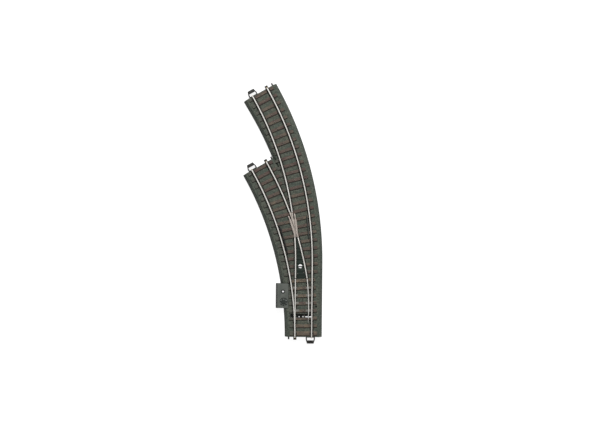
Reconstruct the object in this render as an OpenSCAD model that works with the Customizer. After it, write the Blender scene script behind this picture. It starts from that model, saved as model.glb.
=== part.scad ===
// Left-hand curved turnout for 16.5 mm gauge model track on a moulded ballast bed.
// Origin: track centre at the toe end, on the plane the bed stands on. +Y runs away from the toe.

/* [Track] */
// Distance between the inner faces of the running rails
gauge = 16.5; // [16.4:0.1:16.7]
// Width of a rail head
head_w = 1.0; // [0.9:0.05:1.1]
// Centre-line radius of both curves
route_r = 360; // [359:0.5:361]
// Turning angle of both routes, degrees
route_angle = 30; // [29.5:0.5:30.5]
// Straight length of the outer route before its curve starts
lead = 77.5; // [77:0.5:78]
// Height of the rail top above the base
rail_top = 10.3; // [10.2:0.1:10.6]
// Height of the rail section
rail_h = 2.3; // [2.2:0.05:2.3]

/* [Bed] */
// Half the width of the bed at its foot
bed_half = 19.6; // [19.4:0.1:20]
// Height of the flat ballast top
ballast_z = 7; // [6.9:0.1:7.1]
// Height of the upright edge at the bed's foot
skirt = 1.5; // [1:0.25:2]
// Width of each sloping shoulder
shoulder = 3.2; // [2.8:0.1:3.6]
// Wall thickness of the moulding
wall = 1.4; // [1.2:0.1:1.5]
// How far the bed ends short of the rail ends
bed_inset = 0.5; // [0.3:0.1:0.7]

/* [Sleepers] */
// Length of a plain sleeper
sleeper_len = 28.8; // [28:0.2:29.6]
// Width of a sleeper
sleeper_w = 3.1; // [2.8:0.1:3.4]
// Number of sleepers along the outer route
outer_count = 33; // [33:1:33]
// Number of sleepers along the inner route
inner_count = 24; // [24:1:24]

/* [Points] */
// Travel of the throw bar
stroke = 2.6; // [2.4:0.1:2.7]
// Distance of the blade heels from the toe
heel_y = 61; // [60.8:0.1:61.2]
// Distance of the blade tips from the toe
tip_y = 16; // [15.5:0.5:17]
// Distance of the throw bar's pins from the toe
bar_y = 22.65; // [22.6:0.05:22.7]
// Gap left between parts that move past each other
play = 0.12; // [0.1:0.01:0.15]

/* [Lever] */
// Centre of the hand lever across the track
lever_x = -20.8; // [-20.9:0.05:-20.7]
// Centre of the hand lever along the track
lever_y = 37.2; // [37.1:0.05:37.3]
// Swing of the hand lever, degrees
lever_swing = 60; // [60:1:60]

/* [Hidden] */

CURVE_FN = 720;
ROUND_FN = 48;
EPS = 0.01;

rail_off = (gauge + head_w) / 2;
rail_z = rail_top - rail_h;
foot_w = 2.2;
web_w = 0.6;
sleeper_h = rail_z - ballast_z;
plate_z = ballast_z - 1.6;
outer_len = lead + route_r * route_angle * PI / 180;
inner_len = route_r * route_angle * PI / 180;

// Distances of some sleepers from the toe along each route; those between stand evenly
OUTER_SLEEPERS = [[0, 4.3], [9, 76.4], [21, 174.5], [outer_count - 1, outer_len - 2.9]];
INNER_SLEEPERS = [[0, 4.3], [5, 43.3], [10, 83.6], [inner_count - 1, inner_len - 3.1]];

// Width and floor of the grooves under the rails
groove_w = 3.4;
groove_z = ballast_z - 0.7;

// Radii of the four rail lines about the two curve centres
left_r = route_r - rail_off;
right_r = route_r + rail_off;

// Points and direction at the three track ends
inner_end = [route_r * (cos(route_angle) - 1), route_r * sin(route_angle), route_angle];
outer_end = [inner_end[0], inner_end[1] + lead, route_angle];
TRACK_ENDS = [[0, 0, 180], inner_end, outer_end];

// The outer branch's left shoulder is cut back to this circle beside the inner branch
trim_c = [-384.8, 40.9];
trim_r = 380.4;

// Frog
frog_start = 105;
frog_end = 131.5;
frog_base_end = 123.8;
flangeway = 1.3;
frog_floor_z = rail_top - 1.3;
frog_gap = 0.4;

// Points
slot_x = [-13.6, 9.4];
slot_y = [20.8, 24.5];
blade_z = rail_z + 0.5;
pin_r = 0.35;
heel_pin_r = 0.45;
bar_z = [3.4, 5.0];
bar_x = [-15, 8.2];
lugs_x = [[-15, -5], [-4, -1], [0, 2]];
throw_angle = asin(stroke / (heel_y - bar_y));
blade_end_y = heel_y + 0.5;
closure_y = heel_y + 1.3;
curved_heel = [sqrt(pow(right_r, 2) - pow(heel_y, 2)) - route_r, heel_y];
straight_pin_x = -rail_off + head_w / 2 - 0.25;
curved_pin_x = 7.8;
// Where the curved blade's pin stands while the blade is open
open_pin = curved_heel + turned([curved_pin_x - curved_heel[0], bar_y - heel_y], -throw_angle);

// Detent spring: a leaf across two posts, its nose in one of the link's two notches
spring_ends = [-15.2, -6.2];
spring_y = 20.45;
detent_x = -10.9;

// Hand lever and its crank
knob_r = 4.1;
knob_z = [6.1, 7.6];
crank_disc_r = 3.4;
crank_r = stroke / (2 * sin(lever_swing / 2));
crank_pin_r = 0.8;
link_z = [2.4, 3.4];
crank_pin = [lever_x - crank_r * sin(lever_swing / 2), lever_y - crank_r * cos(lever_swing / 2)];

// Lever housing
box_x = [-29.3, -16.1];
box_y = [30.7, 56.6];
box_top = 7.5;
lamp_pos = [-21.7, 47.9];
lamp_r = 1;

// Other holes through the bed
closure_hole = [-3.8, 74.8];
closure_hole_r = 2.1;
fixing_hole = [13.2, 32.5];
fixing_hole_r = 0.75;
SCREWS = [[-12.5, 11], [12.5, 11], [-14.5, 57], [9.5, 57]];

// End connectors, measured across the track from its centre
loop_u = -7.5;
catch_u = rail_off;
pin_u = 15.35;
locating_pin_r = 0.8;
loop_reach = 6.7;
loop_z = [1.6, 3.8];

function turned(p, a) = [p[0] * cos(a) - p[1] * sin(a), p[0] * sin(a) + p[1] * cos(a)];

// Point and heading on each route at a distance from the toe: [x, y, degrees]
function inner_at(s) = let (a = s / route_r * 180 / PI)
    [route_r * (cos(a) - 1), route_r * sin(a), a];
function outer_at(s) = s < lead ? [0, s, 0]
    : let (p = inner_at(s - lead)) [p[0], p[1] + lead, p[2]];
function outer_sleeper(k) = outer_at(lookup(k, OUTER_SLEEPERS));
function inner_sleeper(k) = inner_at(lookup(k, INNER_SLEEPERS));

// Whether a point stands clear of the rails that cross the routes and of the frog
function clear_of_crossing(p) =
    let (d_in = norm([p[0] + route_r, p[1]]), d_out = norm([p[0] + route_r, p[1] - lead]))
    let (left_line = p[1] < lead ? p[0] + rail_off : d_out - left_r)
    abs(d_in - right_r) > 1.75 && abs(left_line) > 1.75
    && (p[1] < frog_start - 3 || p[1] > frog_end + 1 || min(abs(d_in - right_r), abs(left_line)) > 4.5);

// ---- sweeps along the routes -------------------------------------------------------------

module sweep_inner(from, to)
    translate([-route_r, 0, 0])
    rotate([0, 0, from])
    rotate_extrude(angle = to - from, $fn = CURVE_FN)
    translate([route_r, 0])
    children();

module sweep_lead(from, to)
    translate([0, to, 0])
    rotate([90, 0, 0])
    linear_extrude(to - from)
    children();

module sweep_outer_curve(from, to)
    translate([0, lead, 0])
    sweep_inner(from, to)
    children();

// Large circles about the two curve centres, for outlines seen from above
module inner_disc(r)
    translate([-route_r, 0])
    circle(r, $fn = CURVE_FN);

module outer_disc(r)
    translate([-route_r, lead])
    circle(r, $fn = CURVE_FN);

module inner_band(r0, r1)
    difference() {
        inner_disc(r1);
        inner_disc(r0);
    }

module outer_band(r0, r1)
    difference() {
        outer_disc(r1);
        outer_disc(r0);
    }

module window(x, y)
    translate([x[0], y[0]])
    square([x[1] - x[0], y[1] - y[0]]);

module block(x, y, z)
    translate([x[0], y[0], z[0]])
    cube([x[1] - x[0], y[1] - y[0], z[1] - z[0]]);

module post(p, r, z)
    translate([p[0], p[1], z[0]])
    cylinder(h = z[1] - z[0], r = r, $fn = ROUND_FN);

// Puts children at a track end: +Y points out of the track, +X to its right-hand side
module at_end(end)
    translate([end[0], end[1], 0])
    rotate([0, 0, end[2]])
    children();

module rail_section()
    translate([0, rail_z])
    polygon([
        [-foot_w / 2, 0], [foot_w / 2, 0], [foot_w / 2, 0.3], [web_w / 2, 0.55],
        [web_w / 2, 1.45], [head_w / 2, 1.6], [head_w / 2, rail_h], [-head_w / 2, rail_h],
        [-head_w / 2, 1.6], [-web_w / 2, 1.45], [-web_w / 2, 0.55], [-foot_w / 2, 0.3]]);

// ---- bed ---------------------------------------------------------------------------------

module bed_section()
    polygon([
        [-bed_half, 0], [bed_half, 0], [bed_half, skirt], [bed_half - shoulder, ballast_z],
        [shoulder - bed_half, ballast_z], [-bed_half, skirt]]);

module hollow_section()
    let (foot = bed_half - wall, crown = bed_half - shoulder - wall + 0.2)
    polygon([
        [-foot, -1], [foot, -1], [foot, skirt], [crown, plate_z], [-crown, plate_z],
        [-foot, skirt]]);

module rib_section()
    let (foot = bed_half - wall + 0.2, crown = bed_half - shoulder - wall + 0.6)
    polygon([
        [-foot, 0.6], [foot, 0.6], [foot, skirt], [crown, plate_z - 0.6],
        [-crown, plate_z - 0.6], [-foot, skirt]]);

// The rails stand in shallow grooves in the ballast
module groove_section()
    for (u = [-rail_off, rail_off])
        translate([u - groove_w / 2, groove_z])
        square([groove_w, 2]);

module rail_grooves() {
    sweep_inner(-0.2, route_angle + 0.2) groove_section();
    sweep_lead(-1, lead) groove_section();
    sweep_outer_curve(0, route_angle + 0.2) groove_section();
}

// Solid left of the outer branch's trimmed shoulder
module trim_cone(inset)
    translate([trim_c[0], trim_c[1], 0])
    rotate_extrude($fn = CURVE_FN)
    polygon([
        [300, -2], [trim_r + inset, -2], [trim_r + inset, skirt],
        [trim_r + inset + shoulder, ballast_z], [trim_r + inset + shoulder, ballast_z + 1],
        [300, ballast_z + 1]]);

module bed_body() {
    inset_a = bed_inset / route_r * 180 / PI;
    sweep_inner(inset_a, route_angle - inset_a) bed_section();
    sweep_lead(bed_inset, lead) bed_section();
    difference() {
        sweep_outer_curve(0, route_angle - inset_a) bed_section();
        trim_cone(0);
    }
}

module bed_hollow() {
    end_a = (bed_inset + wall) / route_r * 180 / PI;
    sweep_inner(end_a, route_angle - end_a) hollow_section();
    sweep_lead(bed_inset + wall, lead + EPS) hollow_section();
    difference() {
        sweep_outer_curve(0, route_angle - end_a) hollow_section();
        trim_cone(wall);
    }
}

// Square passages for the centre studs
module stud_holes(z) {
    for (k = [0 : outer_count - 1])
        if (outer_stud(k))
            stud_at(outer_sleeper(k), 1.2, z);
    for (k = [5 : inner_count - 1])
        if (inner_stud(k))
            stud_at(inner_sleeper(k), 1.2, z);
}

function outer_stud(k) = k != 2 && clear_of_crossing(outer_sleeper(k));
function inner_stud(k) = k >= 5 && clear_of_crossing(inner_sleeper(k));

module stud_at(p, w, z)
    translate([p[0], p[1], (z[0] + z[1]) / 2])
    rotate([0, 0, p[2]])
    cube([w, w, z[1] - z[0]], center = true);

module roadbed()
    color("dimgray")
    difference() {
        union() {
            difference() {
                bed_body();
                bed_hollow();
            }
            for (a = [10.3, 15.5, 20, 25])
                sweep_inner(a, a + 0.2) rib_section();
            difference() {
                for (a = [14.5, 19, 24])
                    sweep_outer_curve(a, a + 0.2) rib_section();
                trim_cone(wall - 0.2);
            }
            for (p = SCREWS)
                post(p, 2, [1.5, plate_z + 0.2]);
            for (x = spring_ends)
                post([x, spring_y - 0.8], 0.7, [1.6, plate_z + 0.2]);
            for (end = TRACK_ENDS)
                at_end(end)
                for (u = [-pin_u, pin_u])
                    translate([u, -4.5, 3.4])
                    rotate([-90, 0, 0])
                    cylinder(h = 3.8, r = 1.8, $fn = ROUND_FN);
        }
        rail_grooves();
        block(slot_x, slot_y, [-1, 9]);
        block([-40, box_x[1]], [box_y[0], box_y[1]], [-1, 9]);
        block([-20, -13.2], [32.4, 38.2], [1.9, 4.9]);
        post(closure_hole, closure_hole_r, [4, 8]);
        post(fixing_hole, fixing_hole_r, [4, 8]);
        for (p = SCREWS)
            post(p, 0.6, [1, 4.8]);
        stud_holes([4, 8]);
        feed_passages([4, 8]);
        bond_passages([4, 8]);
        for (end = TRACK_ENDS)
            at_end(end) {
                translate([pin_u, -5, 3.4])
                    rotate([-90, 0, 0])
                    cylinder(h = 6, r = locating_pin_r - 0.25, $fn = ROUND_FN);
                translate([-pin_u, -5, 3.4])
                    rotate([-90, 0, 0])
                    cylinder(h = 6, r = locating_pin_r + 0.1, $fn = ROUND_FN);
                block([loop_u - 4.95, loop_u + 4.95], [-4, 1], [loop_z[0] - 0.1, loop_z[1] + 0.1]);
                block([catch_u - 1.7, catch_u + 1.7], [-4, 1], [1.5, 4.7]);
            }
    }

// ---- sleepers ----------------------------------------------------------------------------

// A sleeper lying across one route at point p, from x0 to x1 measured from the track centre
module sleeper_bar(p, angle, w, x0 = -sleeper_len / 2, x1 = sleeper_len / 2)
    translate([p[0], p[1], ballast_z])
    rotate([0, 0, angle])
    translate([x0, -w / 2, 0])
    cube([x1 - x0, w, sleeper_h]);

// Where the routes part, a sleeper's two halves turn from their common heading to their own
function common_share(k) = min(1, max(0, (20 - k) / 4));

module shared_sleeper(k, w) {
    p = inner_sleeper(k);
    q = outer_sleeper(k);
    mean = (p[2] + q[2]) / 2;
    mid = (p + q) / 2;
    reach = min(sleeper_len / 2, norm([q[0] - p[0], q[1] - p[1]]) / 2 + 0.4);
    if (k < 8) {
        sleeper_bar(mid, mean, w);
    } else {
        t = common_share(k);
        sleeper_bar(p, mean * t + p[2] * (1 - t), w, x1 = reach);
        sleeper_bar(q, mean * t + q[2] * (1 - t), w, x0 = -reach);
    }
}

// Ground between the closure rails, which the closure panel fills
module closure_outline()
    difference() {
        intersection() {
            inner_disc(right_r - 1.3);
            window([-12, 8], [heel_y + 1.6, frog_start - 1]);
        }
        window([-20, -rail_off + 1.3], [heel_y, lead + 1]);
        outer_disc(left_r + 1.3);
    }

module sleepers()
    color("#61564c")
    difference() {
        union() {
            for (k = [0 : inner_count - 1])
                shared_sleeper(k, k == 0 ? 4.2 : sleeper_w);
            difference() {
                for (k = [inner_count : outer_count - 1])
                    sleeper_bar(outer_sleeper(k), outer_sleeper(k)[2], sleeper_w);
                post(trim_c, trim_r + shoulder + 0.5, [0, 20]);
            }
        }
        translate([0, 0, ballast_z - 1])
            linear_extrude(3)
            closure_outline();
        block(slot_x, slot_y, [-1, 9]);
        block([-40, box_x[1] + 0.1], [box_y[0] - 0.1, box_y[1] + 0.1], [-1, 9]);
        post(closure_hole, closure_hole_r, [4, 9]);
        stud_holes([4, 9]);
        feed_passages([4, 9]);
        bond_passages([4, 9]);
    }

module closure_panel()
    color("#1e1f1d")
    difference() {
        union() {
            translate([0, 0, ballast_z])
                linear_extrude(0.9)
                closure_outline();
            intersection() {
                translate([0, 0, ballast_z])
                    linear_extrude(1.3)
                    closure_outline();
                union()
                    for (y = [heel_y + 5 : 4 : frog_start - 8])
                        block([-8, 2], [y, y + 1.1], [ballast_z, ballast_z + 1.3]);
            }
        }
        post(closure_hole, closure_hole_r, [4, 9]);
        stud_holes([4, 9]);
    }

// ---- rails -------------------------------------------------------------------------------

// The stock rails' feet are planed away where the closed blades lie against them
planed_y = [tip_y - 3, 36];

module stock_rail_inner()
    color("silver")
    difference() {
        sweep_inner(0, route_angle)
            translate([-rail_off, 0])
            rail_section();
        translate([0, 0, rail_z - 1])
            linear_extrude(2.5)
            intersection() {
                inner_band(left_r + head_w / 2, left_r + 3);
                window([-14, 0], planed_y);
            }
    }

module stock_rail_outer()
    color("silver") {
        difference() {
            sweep_lead(0, lead)
                translate([rail_off, 0])
                rail_section();
            block([rail_off - 3, rail_off - head_w / 2], planed_y, [rail_z - 1, rail_z + 1.5]);
        }
        sweep_outer_curve(0, route_angle)
            translate([rail_off, 0])
            rail_section();
    }

module closure_rail_straight()
    color("silver") {
        sweep_lead(closure_y, lead)
            translate([-rail_off, 0])
            rail_section();
        sweep_outer_curve(0, asin((frog_start - lead) / left_r))
            translate([-rail_off, 0])
            rail_section();
    }

module closure_rail_curved()
    color("silver")
    sweep_inner(asin(closure_y / right_r), asin(frog_start / right_r))
    translate([rail_off, 0])
    rail_section();

module exit_rail_inner()
    color("silver")
    sweep_inner(asin(frog_end / right_r), route_angle)
    translate([rail_off, 0])
    rail_section();

module exit_rail_outer()
    color("silver")
    sweep_outer_curve(asin((frog_end - lead) / left_r), route_angle)
    translate([-rail_off, 0])
    rail_section();

// ---- frog --------------------------------------------------------------------------------

module frog_rails() {
    // Legs that carry on the closure rails up to the throat
    intersection() {
        outer_band(left_r - head_w / 2, left_r + head_w / 2);
        inner_disc(right_r - head_w / 2 - flangeway);
        window([-30, 0], [frog_start + frog_gap, frog_end]);
    }
    difference() {
        intersection() {
            inner_band(right_r - head_w / 2, right_r + head_w / 2);
            window([-30, 0], [frog_start + frog_gap, frog_end]);
        }
        outer_disc(left_r + head_w / 2 + flangeway);
    }
    // Wing rails beside the two flangeways
    intersection() {
        inner_band(right_r - head_w / 2 - flangeway - 1.1, right_r - head_w / 2 - flangeway);
        outer_disc(left_r + head_w / 2);
        window([-30, 0], [frog_start + 4, frog_end - 4]);
    }
    intersection() {
        difference() {
            outer_band(left_r + head_w / 2 + flangeway, left_r + head_w / 2 + flangeway + 1.1);
            inner_disc(right_r - head_w / 2);
        }
        window([-30, 0], [frog_start + 4, frog_end - 1.5]);
    }
}

module frog_nose()
    intersection() {
        difference() {
            outer_disc(left_r + head_w / 2);
            inner_disc(right_r - head_w / 2);
        }
        union() {
            inner_band(right_r - head_w / 2, right_r + head_w / 2);
            outer_band(left_r - head_w / 2, left_r + head_w / 2);
        }
        window([-30, 0], [frog_start + 10, frog_end - frog_gap]);
    }

module frog_base() {
    intersection() {
        union() {
            inner_band(right_r - 3.6, right_r + 1.1);
            outer_band(left_r - 1.1, left_r + 3.6);
        }
        inner_band(right_r - 6.2, right_r + 4.2);
        outer_band(left_r - 4.2, left_r + 6.2);
        window([-30, 0], [frog_start + frog_gap, frog_base_end]);
    }
    // Web that carries the nose beyond the plate
    intersection() {
        difference() {
            outer_disc(left_r + head_w / 2);
            inner_disc(right_r - head_w / 2);
        }
        window([-30, 0], [frog_base_end - 1, frog_end - frog_gap]);
    }
}

module frog()
    color("#b0a49a") {
        translate([0, 0, rail_z])
            linear_extrude(frog_floor_z - rail_z)
            frog_base();
        translate([0, 0, rail_z + 0.2])
            linear_extrude(rail_h - 0.2)
            frog_rails();
        translate([0, 0, rail_z + 0.2])
            linear_extrude(rail_h - 0.25)
            frog_nose();
    }

// ---- check rails -------------------------------------------------------------------------

check_gap = 2.7;
check_w = 0.9;
check_h = rail_top - rail_z;

module check_foot(x, y, a)
    translate([x, y, rail_z + 0.35])
    rotate([0, 0, a])
    cube([1.4, 2.4, 0.7], center = true);

module check_rail_inner()
    color("#26272a") {
        r = left_r + check_gap;
        translate([0, 0, rail_z])
            linear_extrude(check_h)
            intersection() {
                inner_band(r - check_w / 2, r + check_w / 2);
                window([-40, 0], [88, 118]);
            }
        for (y = [93, 103, 113])
            check_foot(sqrt(r * r - y * y) - route_r + 0.3, y, asin(y / r));
    }

module check_rail_outer()
    color("#26272a") {
        r = right_r - check_gap;
        translate([0, 0, rail_z])
            linear_extrude(check_h)
            intersection() {
                outer_band(r - check_w / 2, r + check_w / 2);
                window([-10, 20], [105, 129]);
            }
        for (y = [109, 117, 125])
            check_foot(sqrt(r * r - pow(y - lead, 2)) - route_r - 0.3, y, asin((y - lead) / r));
    }

// ---- electrical parts --------------------------------------------------------------------

strip_z = [plate_z - 0.3, plate_z];

module strip_section(w)
    translate([-w / 2, strip_z[0]])
    square([w, strip_z[1] - strip_z[0]]);

module stud_strip_outer()
    color("#8d8474") {
        sweep_lead(3, 19) strip_section(1.3);
        block([0.15, 1.45], [18, 26.5], strip_z);
        sweep_lead(25.5, lead) strip_section(1.3);
        sweep_outer_curve(0, route_angle - 0.6) strip_section(1.3);
        for (k = [0 : outer_count - 1])
            if (outer_stud(k))
                stud_at(outer_sleeper(k), 0.9, [strip_z[0], rail_z + 0.5]);
    }

module stud_strip_inner()
    color("#8d8474") {
        from = asin(34 / route_r);
        sweep_inner(from, route_angle - 0.6) strip_section(1.3);
        for (k = [5 : inner_count - 1])
            if (inner_stud(k))
                stud_at(inner_sleeper(k), 0.9, [strip_z[0], rail_z + 0.5]);
    }

// Tabs that rise through the bed to the rail feet
feed_y = 8.2;
bond_y = 74.3;
bond_x = [-rail_off - 0.4, 1.35];

module tab(x, y, w, d, z)
    translate([x, y, (z[0] + z[1]) / 2])
    cube([w, d, z[1] - z[0]], center = true);

module feed_passages(z)
    for (x = [-rail_off, rail_off])
        tab(x, feed_y, 0.8, 1.8, z);

module bond_passages(z)
    for (x = bond_x)
        tab(x, bond_y, 1, 0.8, z);

module feed_terminals()
    color("#b9b4a6")
    for (x = [-rail_off, rail_off]) {
        tab(x, feed_y, 0.5, 1.4, [plate_z - 0.6, rail_z]);
        tab(x, feed_y + 0.8, 0.5, 3.4, [1.6, plate_z - 0.5]);
    }

module bond_strap()
    color("#3a352d") {
        block([bond_x[0] - 0.35, bond_x[1] + 0.35], [bond_y - 0.6, bond_y + 0.6], [4.3, 4.6]);
        for (x = bond_x)
            tab(x, bond_y, 0.7, 0.5, [4.3, rail_z]);
    }

// ---- points ------------------------------------------------------------------------------

module slide_plates()
    color("#8a8a84")
    for (k = [3 : 6]) {
        y = outer_sleeper(k)[1];
        stock_x = sqrt(left_r * left_r - y * y) - route_r;
        block([stock_x + 1.25, stock_x + 5.6], [y - 1.1, y + 1.1], [rail_z, rail_z + 0.3]);
        block([rail_off - 6.4, rail_off - 1.25], [y - 1.1, y + 1.1], [rail_z, rail_z + 0.3]);
    }

module heel_pins()
    color("silver") {
        post([-rail_off, heel_y], heel_pin_r, [rail_z, blade_z + 0.75]);
        post(curved_heel, heel_pin_r, [rail_z, blade_z + 0.75]);
    }

// Bar of a blade seen from above, closed, before its pin and heel eye are added
module blade_solid(heel, pin)
    difference() {
        union() {
            translate([0, 0, blade_z])
                linear_extrude(rail_top - blade_z)
                children();
            post(heel, 1.15, [blade_z, blade_z + 0.9]);
            post(pin, pin_r, [bar_z[0] + 0.2, blade_z + 0.6]);
        }
        post(heel, heel_pin_r + 0.06, [blade_z - 1, blade_z + 0.85]);
    }

module blade_straight()
    color("#c4c2ba")
    blade_solid([-rail_off, heel_y], [straight_pin_x, bar_y])
    difference() {
        window([-rail_off - head_w / 2, -rail_off + head_w / 2], [tip_y, blade_end_y]);
        inner_disc(left_r + head_w / 2 + play);
    }

module blade_curved()
    color("#c4c2ba")
    translate([curved_heel[0], curved_heel[1], 0])
    rotate([0, 0, -throw_angle])
    translate([-curved_heel[0], -curved_heel[1], 0])
    blade_solid(curved_heel, [curved_pin_x, bar_y])
    intersection() {
        inner_band(right_r - head_w / 2, right_r + head_w / 2);
        window([-10, rail_off - head_w / 2 - play], [tip_y, blade_end_y]);
    }

module pin_slot(p) {
    block([p[0] - pin_r - 0.06, p[0] + pin_r + 0.06], [p[1] - 0.2, p[1] + 0.2], [0, 9]);
    for (y = [-0.2, 0.2])
        post([p[0], p[1] + y], pin_r + 0.06, [0, 9]);
}

module throw_bar()
    color("#17181a")
    difference() {
        union() {
            block(bar_x, [slot_y[0] + 1.3, slot_y[1] - play], bar_z);
            block([open_pin[0] - 0.8, open_pin[0] + 0.8], [slot_y[0] + 0.9, slot_y[1] - 1], bar_z);
            for (x = lugs_x)
                block(x, [slot_y[0] + play, slot_y[0] + 1.4], bar_z);
        }
        pin_slot([straight_pin_x, bar_y + 0.05]);
        pin_slot([open_pin[0], open_pin[1] + 0.1]);
    }

module link_outline()
    difference() {
        union() {
            window([-15.5, -9.6], [21.5, 24]);
            window([-15.5, -12.7], [21.5, lever_y - 0.3]);
            window([-25, -12.7], [lever_y - 4.5, lever_y - 0.3]);
        }
        window([crank_pin[0] - crank_pin_r - 0.05, crank_pin[0] + crank_pin_r + 0.05],
            [lever_y - crank_r - crank_pin_r - 0.15, crank_pin[1] + crank_pin_r + 0.15]);
        for (x = [detent_x, detent_x - stroke])
            translate([x, 21.5])
            rotate([0, 0, 45])
            square(0.75, center = true);
    }

module drive_link()
    color("#a9a9a2")
    translate([0, 0, link_z[0]])
    linear_extrude(link_z[1] - link_z[0])
    link_outline();

module detent_spring()
    color("#cfcfc9") {
        block([spring_ends[0] - 0.6, spring_ends[1] + 0.6], [spring_y - 0.1, spring_y + 0.2],
            [link_z[0] + 0.1, link_z[1] - 0.1]);
        post([detent_x, spring_y + 0.3], 0.42, [link_z[0] + 0.1, link_z[1] - 0.1]);
    }

// Round finger knob with a raised seven-pointed star
module hand_lever()
    color("#3c403c")
    union() {
        post([lever_x, lever_y], knob_r, [knob_z[0], knob_z[0] + 0.4]);
        post([lever_x, lever_y], 1.5, [3.6, knob_z[0] + EPS]);
        post([lever_x, lever_y], 1.9, [knob_z[0], knob_z[1]]);
        for (a = [12 : 360 / 7 : 360])
            translate([lever_x, lever_y, knob_z[0]])
            rotate([0, 0, a])
            linear_extrude(knob_z[1] - knob_z[0])
            polygon([[1, -0.75], [knob_r - 0.25, -0.3], [knob_r - 0.25, 0.3], [1, 0.75]]);
    }

module lever_crank()
    color("#8f8f88")
    difference() {
        union() {
            post([lever_x, lever_y], crank_disc_r, [3.6, 4.6]);
            post(crank_pin, crank_pin_r, [2.1, 3.7]);
        }
        post([lever_x, lever_y], 1.5, [3, 5]);
    }

module housing_section(inset)
    let (lo = box_x[0] + inset, hi = box_x[1] - inset, top = box_top - inset, foot = inset > 0 ? -1 : 0)
    polygon([[lo, foot], [hi, foot], [hi, top], [lo + 1.8, top], [lo, top - 3.4]]);

module lever_housing()
    color("#5e635c")
    difference() {
        union() {
            difference() {
                translate([0, box_y[1], 0])
                    rotate([90, 0, 0])
                    linear_extrude(box_y[1] - box_y[0])
                    housing_section(0);
                translate([0, box_y[1] - 1.2, 0])
                    rotate([90, 0, 0])
                    linear_extrude(box_y[1] - box_y[0] - 2.4)
                    housing_section(1.2);
            }
            post(lamp_pos, 2.6, [1.5, box_top - 0.5]);
            intersection() {
                post([lever_x, lever_y], 5.6, [4.75, 6.4]);
                block([box_x[0] + 0.2, box_x[1] - 0.1], [box_y[0] + 0.2, box_y[1]], [0, 7]);
            }
        }
        post([lever_x, lever_y], knob_r + 0.3, [6, 9]);
        post([lever_x, lever_y], 1.55, [4, 9]);
        post(lamp_pos, lamp_r, [0, 9]);
        post(lamp_pos, 2.2, [box_top - 0.8, 9]);
        block([box_x[1] - 2, box_x[1] + 1], [32.4, 40.9], [1.9, 4.7]);
    }

// ---- underside ---------------------------------------------------------------------------

module mechanism_cover()
    color("#2b2c2b")
    difference() {
        union() {
            block([-16.3, 16], [7, 14], [0.7, 1.5]);
            block([box_x[1] + 0.25, 16], [14, 28.5], [0.7, 1.5]);
            block([box_x[1] + 0.25, 15.5], [28, 37], [0.7, 1.5]);
            block([box_x[1] + 0.25, 13], [36, 57], [0.7, 1.5]);
            block([-17, 13], [56.9, 61], [0.7, 1.5]);
        }
        block([slot_x[0], slot_x[1]], slot_y, [-1, 3]);
        for (p = SCREWS)
            post(p, 0.75, [0, 3]);
    }

module cover_screws()
    color("#b8b8b2")
    for (p = SCREWS)
        difference() {
            union() {
                post(p, 1.4, [0.15, 0.7]);
                post(p, 0.6, [0.6, 4.6]);
            }
            translate([p[0], p[1], 0.2])
                cube([0.4, 1.9, 0.5], center = true);
            translate([p[0], p[1], 0.2])
                cube([1.9, 0.4, 0.5], center = true);
        }

// ---- track ends --------------------------------------------------------------------------

loop_half = 4.85;
loop_front_half = 3.5;
loop_side = 1.2;

module loop_outline()
    difference() {
        polygon([
            [-loop_half, -4], [loop_half, -4], [loop_half, 2.2], [loop_front_half, loop_reach],
            [-loop_front_half, loop_reach], [-loop_half, 2.2]]);
        window([-3.55, 3.55], [0.4, 3.4]);
        window([-2.6, 2.6], [-3, -1]);
    }

module clip()
    color("#252523")
    translate([loop_u, 0, loop_z[0]])
    linear_extrude(loop_z[1] - loop_z[0])
    loop_outline();

module clip_toe()
    at_end(TRACK_ENDS[0]) clip();

module clip_inner()
    at_end(TRACK_ENDS[1]) clip();

module clip_outer()
    at_end(TRACK_ENDS[2]) clip();

module catch_block()
    color("#2b2a28")
    translate([catch_u - 1.65, 0, 0])
    rotate([90, 0, 90])
    linear_extrude(3.3)
    polygon([[-4, 1.6], [0.5, 1.6], [2.7, 3.4], [2.7, 4.6], [-4, 4.6]]);

module catch_toe()
    at_end(TRACK_ENDS[0]) catch_block();

module catch_inner()
    at_end(TRACK_ENDS[1]) catch_block();

module catch_outer()
    at_end(TRACK_ENDS[2]) catch_block();

// Spring tongues that lie under each rail end on the bed's end face
module contact_tongues()
    color("#a58b56")
    for (end = TRACK_ENDS)
        at_end(end)
        for (u = [-rail_off, rail_off])
            translate([u, -0.3, rail_z - 0.15])
            cube([1.4, 1.8, 0.25], center = true);

module locating_pins()
    color("#2b2a28")
    for (end = TRACK_ENDS)
        at_end(end)
        translate([pin_u, -bed_inset, 3.4])
        rotate([-90, 0, 0]) {
            translate([0, 0, -3.5])
                cylinder(h = 3.5, r = locating_pin_r - 0.25, $fn = ROUND_FN);
            cylinder(h = 2.8, r = locating_pin_r, $fn = ROUND_FN);
        }

roadbed();
sleepers();
stock_rail_inner();
stock_rail_outer();
closure_rail_straight();
closure_rail_curved();
frog();
exit_rail_inner();
exit_rail_outer();
check_rail_inner();
check_rail_outer();
closure_panel();
stud_strip_outer();
stud_strip_inner();
slide_plates();
heel_pins();
blade_straight();
blade_curved();
throw_bar();
drive_link();
hand_lever();
lever_crank();
lever_housing();
detent_spring();
mechanism_cover();
cover_screws();
bond_strap();
feed_terminals();
clip_toe();
clip_inner();
clip_outer();
catch_toe();
catch_inner();
catch_outer();
contact_tongues();
locating_pins();
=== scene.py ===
import math

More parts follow.
